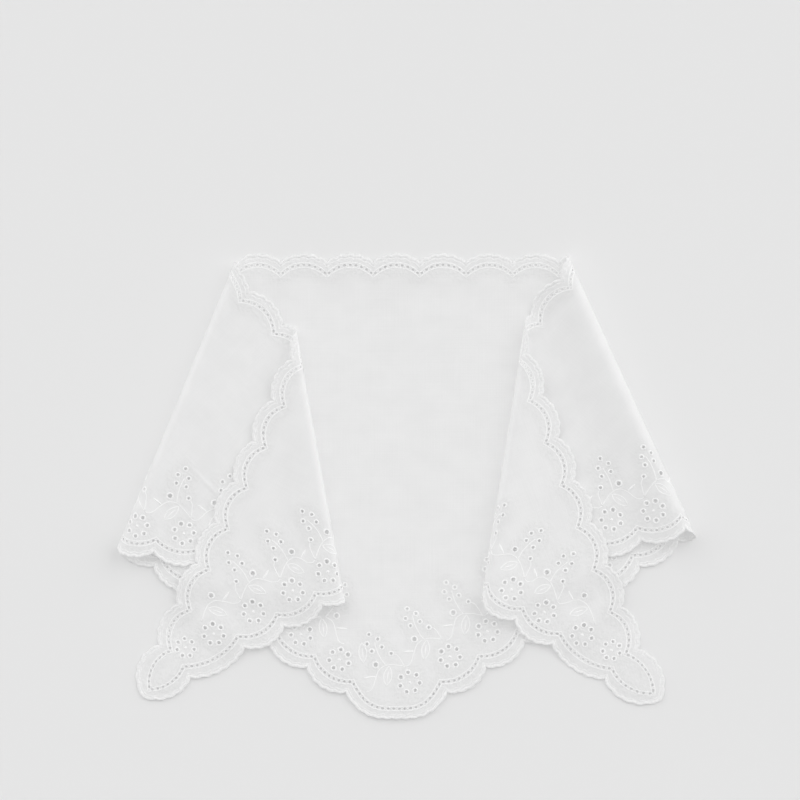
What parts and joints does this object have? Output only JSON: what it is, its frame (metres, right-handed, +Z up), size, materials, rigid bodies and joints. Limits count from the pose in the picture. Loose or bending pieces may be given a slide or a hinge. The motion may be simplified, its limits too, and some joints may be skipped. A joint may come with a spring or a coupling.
{
  "type": "eyelet-embroidered triangle kerchief",
  "caption": "White cotton triangle kerchief with scalloped eyelet edges, its two ends folded back and forward again, lying flat.",
  "frame": {"origin": "middle of the folded kerchief's box, on the surface it lies on", "axes": "+Z up from that surface, +Y towards the long edge, +X to the right as seen from above with the long edge at the back"},
  "size_m": [0.3636, 0.2922, 0.013],
  "materials": {
    "cotton": "matt fine white cotton with matching stitching"
  },
  "bodies": {
    "root": {"kerchief": "cotton"}
  },
  "joints": []
}
